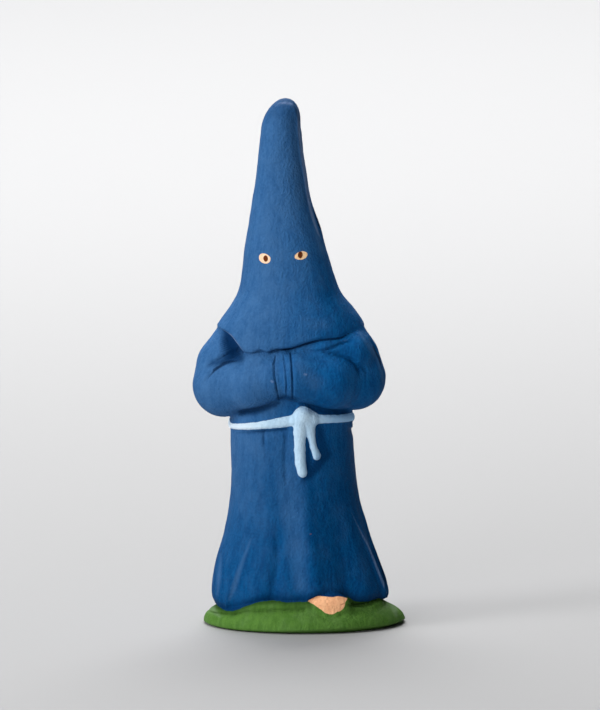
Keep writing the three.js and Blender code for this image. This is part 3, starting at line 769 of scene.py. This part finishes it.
def among_neighbours(grid):
    """The middle of the four neighbours of each point, in all rings but the first and the last."""
    return (grid[:-2] + grid[2:] + np.roll(grid, 1, axis=1)[1:-1] + np.roll(grid, -1, axis=1)[1:-1]) / 4


def hollowness(grid, normal):
    """How sharply the surface bends: positive in creases, negative on edges."""
    bend = np.zeros(grid.shape[:2])
    along = grid[2:] - 2 * grid[1:-1] + grid[:-2]
    step = np.sum((grid[2:] - grid[:-2]) ** 2, axis=-1) / 4
    bend[1:-1] = np.sum(along * normal[1:-1], axis=-1) / step
    before, after = np.roll(grid, 1, axis=1), np.roll(grid, -1, axis=1)
    step = np.sum((after - before) ** 2, axis=-1) / 4
    bend += np.sum((after - 2 * grid + before) * normal, axis=-1) / step
    bend = np.clip(bend, -SHARPEST_BEND, SHARPEST_BEND)
    for _ in range(BEND_STEPS):
        bend[1:-1] = among_neighbours(bend)
    return bend


def surface_grid():
    """Points of the surface, ring by ring, and their outward normals."""
    turn = np.arange(COLUMNS) * 2 * math.pi / COLUMNS
    angle = turn - FRONT_CROWDING * np.sin(turn)
    heights, angles = np.meshgrid(ring_heights(), angle, indexing="ij")
    shares, tip_angles = np.meshgrid(np.arange(1, TIP_RINGS + 1) / (TIP_RINGS + 1), angle, indexing="ij")
    rays = [ring_rays(heights.ravel(), angles.ravel()), tip_rays(shares.ravel(), tip_angles.ravel())]
    start, direction = (np.concatenate(parts) for parts in zip(*rays))
    points = start + reach(start, direction)[:, None] * direction
    grid = points.reshape(-1, COLUMNS, 3)
    for _ in range(RELAX_STEPS):
        grid = relax(grid)
    grid = soften_hollow(grid)
    _, normal = slopes(grid.reshape(-1, 3))
    normal /= np.linalg.norm(normal, axis=1, keepdims=True)
    return grid, normal.reshape(grid.shape)


def toward_neighbours(grid):
    """From each point to the middle of the four round it."""
    move = np.zeros(grid.shape)
    move[1:-1] = among_neighbours(grid) - grid[1:-1]
    return move


def soften_hollow(grid):
    """Smooths the hollow beside the cape, where the rays graze the surface."""
    for _ in range(HOLLOW_STEPS):
        share = hollow_shade_share(*grid.reshape(-1, 3).T).reshape(grid.shape[:2])
        grid = grid + RELAX_SHARE * share[..., None] * toward_neighbours(grid)
    return grid


def relax(grid):
    """Evens out the points along the surface, then sets them back on it."""
    farthest = 0.3
    points, move = grid.reshape(-1, 3), toward_neighbours(grid).reshape(-1, 3) * RELAX_SHARE
    _, gradient = slopes(points)
    normal = gradient / np.linalg.norm(gradient, axis=1, keepdims=True)
    points = points + move - normal * np.sum(move * normal, axis=1, keepdims=True)
    value, gradient = slopes(points)
    size = np.sum(gradient**2, axis=1, keepdims=True)
    points = points - np.clip(value[:, None] / size, -farthest, farthest) * gradient
    relaxed = points.reshape(grid.shape)
    relaxed[0], relaxed[-1] = grid[0], grid[-1]
    return relaxed


def stroke_paint(line, across, z):
    """About how far inside a painted line of [place across, height, half width] a point is."""
    inside = np.full(z.shape, -FAR)
    for a, b in zip(line, line[1:]):
        distance, t = to_segment(a, b, across, z)
        inside = np.maximum(inside, lerp(a[2], b[2], t) - distance)
    return inside


def foot_paint(x, y, z):
    """About how far inside the painted foot a point is."""
    back = FOOT_PAINT_BACK
    inside = np.minimum(stroke_paint(FOOT_PAINT, x, z), robe_hem_front(x) - z)
    return inside - back["away"] * smoothstep(y, back["start"], back["end"])


def line_paint(lines, x, y, z):
    """About how far inside one of the painted lines a point is, seen from the front."""
    inside = np.max([stroke_paint(line, x, z) for line in lines], axis=0)
    return inside - PAINT_AWAY * smoothstep(y, *PAINT_ENDS)


def edge_paint(line, x, y, z):
    """About how far inside a line a point is, where the line turns away from the front."""
    return np.minimum(stroke_paint(line["front"], x, z), stroke_paint(line["side"], y, z))


def patch_paint(corners, x, z):
    """How far inside a patch a point is, seen from the front."""
    inside = np.full(x.shape, FAR)
    for (ax, az), (bx, bz) in zip(corners, corners[1:] + corners[:1]):
        across = (x - ax) * (bz - az) - (z - az) * (bx - ax)
        inside = np.minimum(inside, across / math.hypot(bx - ax, bz - az))
    return inside


def painted_shade_share(bend, x, y, z):
    """1 where painted shade darkens the paint: in creases and recesses, under things, on the tip and along
    the hem.
    """
    crease_shade = smoothstep(bend, 0.8, 6)
    recess_shade = 0.5 * smoothstep(recess(x, y, z), 0.15, 1.0)
    in_shade = 0.9 * smoothstep(line_paint(SHADES, x, y, z), -0.9, 0.2)
    tip_shade = 0.5 * smoothstep(z, 94, 98)
    below = robe_hem(x, y) - z
    hem_shade = 0.9 * bell(below / np.where(below > 0, 0.65, 1.3))
    return np.max([crease_shade, recess_shade, in_shade, tip_shade, hem_shade], axis=0)


def wear_and_highlight_share(bend, x, y, z):
    """1 where the paint is lighter: worn on edges, and painted highlights along ridges."""
    edges = smoothstep(-bend, 0.8, 5) * smoothstep(np.abs(z - robe_hem(x, y)), 0.5, 2.5)
    ridges = 0.9 * smoothstep(line_paint(RIDGE_HIGHLIGHTS, x, y, z), -0.5, 0.3)
    return np.maximum(edges * (1 - hollow_shade_share(x, y, z)), ridges)


def cape_shadow(x, y, z):
    """About how far inside the painted shadow under the cape a point is."""
    line = CAPE_SHADOW
    half = line["half"] * smoothstep(x, *line["from_x"]) * (1 - smoothstep(x, *line["to_x"]))
    return half - np.abs(cape_hem(x, y) - line["below"] - z) - added_behind(y, PAINT_AWAY)


def hollow_shade_share(x, y, z):
    """1 in the painted shade of the hollow beside the cape."""
    inside = np.minimum(patch_paint(HOLLOW_SHADE_PATCH, x, z), cape_hem(x, y) - z)
    return smoothstep(inside, -0.5, 0.6) * front_share(y)


def cord_paint(x, y, z):
    """About how far inside the painted cord a point is, seen from the front."""
    middle, half = belt(x, y)
    edge = np.abs(z - middle) - half
    for path in (KNOT, LONG_END, SHORT_END):
        for a, b in zip(path, path[1:]):
            distance, t = to_segment(a, b, x, z)
            outside = distance - lerp(a[2], b[2], t) + added_behind(y, PAINT_AWAY)
            edge = smooth_min(edge, outside, BLEND["cord"])
    return -edge


def paint_values(bend, x, y, z):
    """What the material reads at each point, by name."""
    # Lines of painted shade: in creases, in the seam's groove and under the cape.
    dark = [line_paint(CREASE_SHADE_LINES, x, y, z), edge_paint(SEAM_SHADE, x, y, z), cape_shadow(x, y, z)]
    # Painted highlights along ridges, the seam and the skirt's edge, and two pale specks.
    light = [line_paint(HIGHLIGHTS_AND_SPECKS, x, y, z)]
    light += [edge_paint(line, x, y, z) for line in (SEAM_HIGHLIGHT, SKIRT_HIGHLIGHT)]
    return {
        "cord": cord_paint(x, y, z),
        "ground": robe_hem(x, y) - z,
        "foot": foot_paint(x, y, z),
        # Painted shade in creases and recesses, under the arms, on the tip and along the hem.
        "painted_shade": painted_shade_share(bend, x, y, z),
        # Worn edges, and painted highlights along ridges.
        "wear_and_highlight": wear_and_highlight_share(bend, x, y, z),
        # The painted shade of the hollow beside the cape.
        "hollow_shade": hollow_shade_share(x, y, z),
        # Bands of worn paint that are also painted highlights where folds face the light.
        "worn_and_lit": 0.5 * smoothstep(line_paint(WORN_AND_LIT_BANDS, x, y, z), -2, 0.5),
        # Lines of painted shade in creases, beside the seam and under the cape.
        "shade_line": np.max(dark, axis=0),
        # Painted highlights and two pale specks.
        "highlight_and_speck": np.max(light, axis=0),
        # Lines of painted shade on the ground.
        "ground_shade_line": line_paint(GROUND_SHADE_LINES, x, y, z),
    }


def net_faces(rings):
    """Faces between the rings, then those of the underside and the summit, whose points come last."""
    bottom, summit, last = rings * COLUMNS, rings * COLUMNS + 1, (rings - 1) * COLUMNS
    ring, column = np.meshgrid(np.arange(rings - 1), np.arange(COLUMNS), indexing="ij")
    ahead = (column + 1) % COLUMNS
    quads = np.stack([
        ring * COLUMNS + column, ring * COLUMNS + ahead,
        (ring + 1) * COLUMNS + ahead, (ring + 1) * COLUMNS + column,
    ], axis=-1).reshape(-1, 4).tolist()
    around = [(c, (c + 1) % COLUMNS) for c in range(COLUMNS)]
    return quads + [(bottom, b, a) for a, b in around] + [(last + a, last + b, summit) for a, b in around]


def build_figure():
    """The figure as one mesh, with the values that its material reads."""
    grid, normal = surface_grid()
    bend = np.append(hollowness(grid, normal), [0, 0])
    lumpy = (grid[..., 2:] > LUMPS_FROM) * 1.0
    grid = grid + normal * lumpy * lumps(grid.reshape(-1, 3)).reshape(grid.shape[:2] + (1,))
    grid[0, :, 2] = 0
    start, direction = tip_rays(np.ones(1), np.zeros(1))
    summit = start + reach(start, direction)[:, None] * direction
    points = np.concatenate([grid.reshape(-1, 3), [[0, 0, 0]], summit])

    mesh = bpy.data.meshes.new("santon")
    mesh.from_pydata((points * U).tolist(), [], net_faces(len(grid)))
    mesh.shade_smooth()
    for name, value in paint_values(bend, *points.T).items():
        mesh.attributes.new(name, "FLOAT", "POINT").data.foreach_set("value", value.astype(np.float32))
    piece = bpy.data.objects.new("santon", mesh)
    bpy.context.scene.collection.objects.link(piece)
    return piece


class Nodes:
    """A short way to write a material's nodes. Inputs are sockets or plain values."""

    def __init__(self, material):
        material.use_nodes = True
        self.tree = material.node_tree
        self.shader = self.tree.nodes["Principled BSDF"]

    def add(self, kind, inputs=(), **settings):
        made = self.tree.nodes.new(kind)
        for name, value in settings.items():
            setattr(made, name, value)
        for key, value in dict(inputs).items():
            self.put(made.inputs[key], value)
        return made

    def put(self, socket, value):
        if isinstance(value, bpy.types.NodeSocket):
            self.tree.links.new(value, socket)
        else:
            socket.default_value = value

    def math(self, operation, a, b=0.0, c=0.0):
        return self.add("ShaderNodeMath", {0: a, 1: b, 2: c}, operation=operation).outputs[0]

    def mix(self, share, a, b):
        made = self.add("ShaderNodeMix", {0: share}, data_type="RGBA")
        self.put(made.inputs["A"], a)
        self.put(made.inputs["B"], b)
        return next(out for out in made.outputs if out.type == "RGBA")

    def attribute(self, name):
        return self.add("ShaderNodeAttribute", attribute_name=name).outputs["Fac"]

    def stretched(self, across, up):
        """Object coordinates in units, divided by a grain size across and up."""
        place = self.add("ShaderNodeTexCoord").outputs["Object"]
        scale = (1 / (U * across), 1 / (U * across), 1 / (U * up))
        return self.add("ShaderNodeMapping", {"Vector": place, "Scale": scale}).outputs[0]

    def noise(self, across, up=None, detail=2.0, roughness=0.5):
        vector = self.stretched(across, up or across)
        inputs = {"Vector": vector, "Scale": 1.0, "Detail": detail, "Roughness": roughness}
        return self.add("ShaderNodeTexNoise", inputs).outputs["Fac"]

    def step(self, value, edge, softness):
        """0 below the edge, 1 above it."""
        inputs = {"Value": value, "From Min": edge - softness, "From Max": edge + softness}
        return self.add("ShaderNodeMapRange", inputs, interpolation_type="SMOOTHSTEP").outputs[0]


def colour(red, green, blue):
    """Linear colour from the 0 to 255 numbers that a picture holds."""
    def linear(value):
        share = value / 255
        return share / 12.92 if share <= 0.04045 else ((share + 0.055) / 1.055) ** 2.4
    return (linear(red), linear(green), linear(blue), 1)


def brushed(n, light, dark, streaks):
    """A paint whose tone drifts from stroke to stroke."""
    return n.mix(n.step(streaks, edge=0.5, softness=0.16), dark, light)


def dust_highlight_and_shade(n, paint, dust_and_highlight, shade_colour, bloom):
    """The paint is chalky in patches, lighter on worn edges and painted highlights, and darker in painted
    shade.
    """
    wear_and_highlight = n.math("MULTIPLY", n.attribute("wear_and_highlight"), 0.6)
    paint = n.mix(n.math("MAXIMUM", bloom, wear_and_highlight), paint, dust_and_highlight)
    return n.mix(n.math("MULTIPLY", n.attribute("painted_shade"), 0.85), paint, shade_colour)


def painted_ellipse(n, place, wobble, at, size, tilt=0):
    """1 inside an ellipse that is painted on the front."""
    x, y, z = place
    turn = math.radians(tilt)
    dx, dz = n.math("SUBTRACT", x, at[0]), n.math("SUBTRACT", z, at[1])
    reach = []
    for share_x, share_z, half in (
        (math.cos(turn), math.sin(turn), size[0]),
        (-math.sin(turn), math.cos(turn), size[1]),
    ):
        along = n.math("MULTIPLY_ADD", dx, share_x / half, n.math("MULTIPLY", dz, share_z / half))
        reach.append(n.math("POWER", n.math("ABSOLUTE", along), 2.0))
    radius = n.math("SQRT", n.math("ADD", *reach))
    inside = n.step(n.math("SUBTRACT", wobble, radius), edge=-1.0, softness=EDGE_SOFTNESS)
    return n.math("MULTIPLY", inside, n.math("LESS_THAN", y, 0.0))


def line_share(n, name):
    """How much of a fine line of painted shade shows."""
    strength = 0.8
    return n.math("MULTIPLY", n.step(n.attribute(name), edge=0.0, softness=0.1), strength)


def faded_and_sheen_share(n, x, z):
    """1 where the blue is faded and carries a painted sheen: high up, towards the lit -X side and in the
    bands.
    """
    slant = n.math("MULTIPLY_ADD", x, FADED_AND_SHEEN["across"], n.math("MULTIPLY", z, FADED_AND_SHEEN["up"]))
    patchy = n.math("MULTIPLY_ADD", n.noise(**PATCHES), FADED_AND_SHEEN["patches"], slant)
    faded_and_sheen = n.step(patchy, FADED_AND_SHEEN["edge"], FADED_AND_SHEEN["softness"])
    faded_and_sheen = n.math("MULTIPLY", faded_and_sheen, n.step(z, edge=22.0, softness=16.0))
    return n.math("MAXIMUM", faded_and_sheen, n.attribute("worn_and_lit"))


def blue_colour(n, z, strokes, faded_and_sheen, bloom):
    low = brushed(n, colour(4, 79, 133), colour(0, 62, 113), strokes)
    high = brushed(n, colour(12, 92, 152), colour(6, 73, 130), strokes)
    # The blue is painted lighter higher up: painted light, as the lamps light the top more than the bottom.
    fresh = n.mix(n.step(z, edge=38.0, softness=16.0), low, high)
    # The faded blue, which also stands for a painted sheen on the lit side.
    faded_sheen_blue = brushed(n, colour(57, 104, 155), colour(43, 89, 139), strokes)
    # Chalky patches, worn edges and painted highlights, and painted shade in creases and along the hem.
    blue = dust_highlight_and_shade(n, n.mix(faded_and_sheen, fresh, faded_sheen_blue), colour(70, 114, 162), colour(0, 42, 84), bloom)
    # Painted shade in the hollow beside the cape.
    blue = n.mix(n.math("MULTIPLY", n.attribute("hollow_shade"), 0.92), blue, colour(0, 44, 88))
    # Painted highlights, and two pale specks.
    light = n.step(n.attribute("highlight_and_speck"), edge=-0.1, softness=0.2)
    blue = n.mix(n.math("MULTIPLY", light, 0.7), blue, colour(118, 144, 186))
    # Fine lines of painted shade in the creases.
    return n.mix(line_share(n, "shade_line"), blue, colour(0, 28, 62))


def cord_colour(n, x, streaks, bloom):
    """Palest at the lit -X end, as painted light, and bluest at the +X end, as painted shade where the
    robe's blue shows through.
    """
    cord = brushed(n, colour(194, 225, 248), colour(182, 215, 240), streaks)
    cord = n.mix(n.step(x, edge=-9.0, softness=4.0), colour(216, 233, 246), cord)
    cord = n.mix(n.step(x, edge=4.0, softness=4.0), cord, colour(148, 196, 238))
    # Chalky patches and painted highlights, and painted shade in creases.
    return dust_highlight_and_shade(n, cord, colour(215, 234, 250), colour(110, 156, 200), bloom)


def green_colour(n, streaks, bloom):
    green = brushed(n, colour(86, 128, 54), colour(73, 114, 45), streaks)
    # Chalky patches and painted highlights, and painted shade in creases.
    green = dust_highlight_and_shade(n, green, colour(124, 150, 112), colour(30, 60, 18), bloom)
    # Lines of painted shade in the ground's grooves.
    return n.mix(line_share(n, "ground_shade_line"), green, colour(30, 56, 22))


def skin_colour(n, streaks):
    skin = brushed(n, colour(255, 194, 147), colour(250, 184, 138), streaks)
    # A fine line of painted shade along the toe's edge.
    return n.mix(line_share(n, "shade_line"), skin, colour(176, 112, 84))


def eyes_and_chip(n, paint, place, wobble):
    for eye in EYES:
        white = painted_ellipse(n, place, wobble, eye["at"], eye["size"], eye["tilt"])
        iris = painted_ellipse(n, place, wobble, eye["iris"], IRIS_SIZE)
        paint = n.mix(white, paint, colour(*eye["white"]))
        paint = n.mix(iris, paint, colour(104, 50, 22))
    return n.mix(painted_ellipse(n, place, wobble, **CHIP), paint, colour(92, 80, 106))


def painted_clay():
    material = bpy.data.materials.new("painted_clay")
    n = Nodes(material)
    streaks, grain = n.noise(**STREAKS), n.noise(**GRAIN)
    wobble = n.math("MULTIPLY", n.math("SUBTRACT", n.noise(**WOBBLE), 0.5), WOBBLE_REACH)
    place = n.add("ShaderNodeSeparateXYZ", {0: n.stretched(1, 1)}).outputs
    x, _, z = place

    # Faded blue with a painted sheen on the lit side.
    faded_and_sheen = faded_and_sheen_share(n, x, z)
    bloom_share = n.math("MULTIPLY_ADD", faded_and_sheen, 0.25, 0.12)
    bloom = n.math("MULTIPLY", n.step(n.noise(**BLOOM), edge=0.55, softness=0.16), bloom_share)
    grain_share = 0.4
    strokes = n.math("MULTIPLY_ADD", grain, grain_share, n.math("MULTIPLY", streaks, 1 - grain_share))
    paint = blue_colour(n, z, strokes, faded_and_sheen, bloom)
    for name, over in (
        ("ground", green_colour(n, streaks, bloom)),
        ("foot", skin_colour(n, streaks)),
        ("cord", cord_colour(n, x, streaks, bloom)),
    ):
        inside = n.step(n.math("ADD", n.attribute(name), wobble), edge=0.0, softness=EDGE_SOFTNESS)
        paint = n.mix(inside, paint, over)
    n.put(n.shader.inputs["Base Color"], eyes_and_chip(n, paint, place, wobble))

    height = n.math("MULTIPLY_ADD", streaks, 0.5, grain)
    bump = n.add("ShaderNodeBump", {"Height": height, "Strength": 1.0, "Distance": BUMP_HEIGHT * U})
    n.put(n.shader.inputs["Normal"], bump.outputs[0])
    n.shader.inputs["Roughness"].default_value = 0.6
    n.shader.inputs["Specular IOR Level"].default_value = 0.04
    return material


def stage_material():
    material = bpy.data.materials.new("stage")
    material.use_nodes = True
    shader = material.node_tree.nodes["Principled BSDF"]
    shader.inputs["Base Color"].default_value = (0.385, 0.385, 0.39, 1)
    shader.inputs["Roughness"].default_value = 0.8
    return material


def floor():
    """A plain pale floor, far wider than any view of the figure."""
    side = 4
    corners = [(-side, -side, 0), (side, -side, 0), (side, side, 0), (-side, side, 0)]
    mesh = bpy.data.meshes.new("floor")
    mesh.from_pydata(corners, [], [(0, 1, 2, 3)])
    plane = bpy.data.objects.new("floor", mesh)
    plane.data.materials.append(stage_material())
    bpy.context.scene.collection.objects.link(plane)


def area_light(name, place, target, size, power):
    data = bpy.data.lights.new(name, "AREA")
    data.shape = "DISK"
    data.size = size
    data.energy = power
    light = bpy.data.objects.new(name, data)
    light.location = place
    light.rotation_euler = (Vector(target) - Vector(place)).to_track_quat("-Z", "Y").to_euler()
    bpy.context.scene.collection.objects.link(light)


def toward(azimuth, elevation, distance):
    """A place seen from the figure: azimuth from the front towards its right hand, in degrees."""
    a, e = math.radians(azimuth), math.radians(elevation)
    x, y = -math.sin(a) * math.cos(e), -math.cos(a) * math.cos(e)
    return (distance * x, distance * y, distance * math.sin(e))


def studio():
    figure_middle = (0, 0, 50 * U)
    area_light("key", toward(60, 26, 0.8), figure_middle, size=0.35, power=3.6)
    area_light("front", toward(20, 16, 0.8), figure_middle, size=0.35, power=2.1)
    area_light("overhead", (-0.1, -0.05, 0.85), figure_middle, size=0.4, power=2.6)
    area_light("floor_near", (-0.1, 0.6, 0.7), (-0.1, 0.6, 0), size=0.8, power=6.4)
    area_light("floor_far", (0, 1.6, 0.9), (0, 1.6, 0), size=1.6, power=28)
    world = bpy.data.worlds.new("studio")
    world.use_nodes = True
    background = world.node_tree.nodes["Background"]
    background.inputs["Color"].default_value = (1, 1, 1, 1)
    background.inputs["Strength"].default_value = 0.05
    bpy.context.scene.world = world
    bpy.context.scene.view_settings.view_transform = "Standard"


def camera():
    """At the photograph's angle and scale, far enough away for a nearly parallel view."""
    pixels_high, pixels_in_a_unit = 710, 5.283
    elevation, distance = math.radians(6.5), 1.5
    middle_x, middle_z = -0.85, 51
    frame_height = pixels_high / pixels_in_a_unit * U
    data = bpy.data.cameras.new("camera")
    data.sensor_width = 36
    data.lens = data.sensor_width * distance / frame_height
    data.clip_end = 10
    target = Vector((middle_x * U, 0, middle_z * U))
    back = Vector((0, -math.cos(elevation), math.sin(elevation)))
    view = bpy.data.objects.new("camera", data)
    view.location = target + back * distance
    view.rotation_euler = (-back).to_track_quat("-Z", "Y").to_euler()
    bpy.context.scene.collection.objects.link(view)
    bpy.context.scene.camera = view


camera()
studio()
floor()
santon = build_figure()
santon.data.materials.append(painted_clay())
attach(santon, "root")
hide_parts(NODE)
